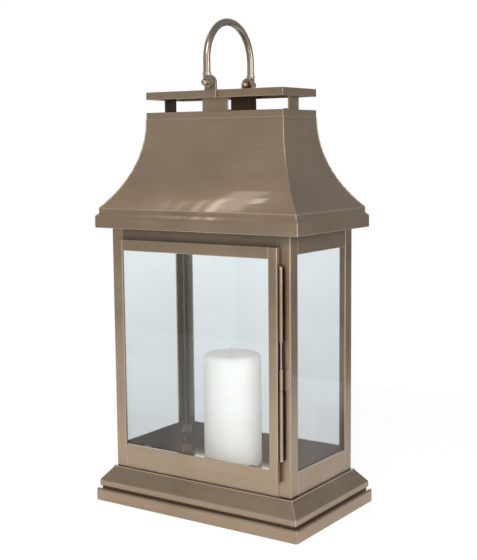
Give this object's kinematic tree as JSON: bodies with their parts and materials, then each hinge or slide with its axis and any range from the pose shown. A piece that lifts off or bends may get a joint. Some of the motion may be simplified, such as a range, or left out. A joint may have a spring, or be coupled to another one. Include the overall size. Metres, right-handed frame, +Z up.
{
  "type": "lantern",
  "caption": "Rectangular glazed barn lantern with a hinged front door, flared roof, raised vent cap and swinging carrying bail.",
  "frame": {"origin": "middle of the base's underside", "axes": "+Z up, +X to the right of the door, the door faces -Y"},
  "size_m": [0.288, 0.178, 0.5777],
  "materials": {
    "antique_metal": "satin antique brass over brushed sheet",
    "glass": "clear float glass",
    "wax": "smooth ivory wax",
    "wick": "braided cotton",
    "steel": "plain steel"
  },
  "bodies": {
    "lantern": {"bail_lug_back": "antique_metal", "bail_lug_front": "antique_metal", "base_moulding_back": "antique_metal", "base_moulding_front": "antique_metal", "base_moulding_left": "antique_metal", "base_moulding_right": "antique_metal", "base_plate": "antique_metal", "base_tray": "antique_metal", "cap": "antique_metal", "cap_strut_back": "antique_metal", "cap_strut_front": "antique_metal", "cap_strut_left": "antique_metal", "cap_strut_right": "antique_metal", "catch_bracket": "antique_metal", "catch_magnet": "steel", "eave_back": "antique_metal", "eave_front": "antique_metal", "eave_left": "antique_metal", "eave_right": "antique_metal", "floor_pan": "antique_metal", "glass_back": "glass", "glass_clips_back": "antique_metal", "glass_clips_front": "antique_metal", "glass_left": "glass", "glass_right": "glass", "hinge_leaf_post": "antique_metal", "pivot_bolt_back": "antique_metal", "pivot_bolt_front": "antique_metal", "pivot_nuts": "antique_metal", "post_back_left": "antique_metal", "post_back_right": "antique_metal", "post_front_left": "antique_metal", "post_front_right": "antique_metal", "rail_bottom_back": "antique_metal", "rail_bottom_front": "antique_metal", "rail_bottom_left": "antique_metal", "rail_bottom_right": "antique_metal", "rail_top_back": "antique_metal", "rail_top_front": "antique_metal", "rail_top_left": "antique_metal", "rail_top_right": "antique_metal", "roof_collar": "antique_metal", "roof_panel_back": "antique_metal", "roof_panel_front": "antique_metal", "roof_panel_left": "antique_metal", "roof_panel_right": "antique_metal"},
    "door": {"door_stile_left": "antique_metal", "door_stile_right": "antique_metal", "door_rail_top": "antique_metal", "door_rail_bottom": "antique_metal", "door_glass": "glass", "door_glass_clips": "antique_metal", "hinge_leaf_door": "antique_metal", "hinge_pin": "antique_metal"},
    "bail": {"bail_rod": "antique_metal", "bail_eye_front": "antique_metal", "bail_eye_back": "antique_metal"},
    "candle": {"candle": "wax", "candle_wick": "wick"}
  },
  "joints": [
    {"name": "door_hinge", "type": "hinge", "parent": "lantern", "child": "door", "pos_m": [0.1154, -0.0739, 0.193], "axis": [0, 0, 1], "range_deg": [0, 160]},
    {"name": "bail_swing", "type": "hinge", "parent": "lantern", "child": "bail", "pos_m": [0, 0, 0.503], "axis": [0, 1, 0], "range_deg": [-92, 92]},
    {"name": "candle_lift", "type": "slide", "parent": "lantern", "child": "candle", "axis": [0, 0, 1], "range_m": [0, 0.12]}
  ]
}
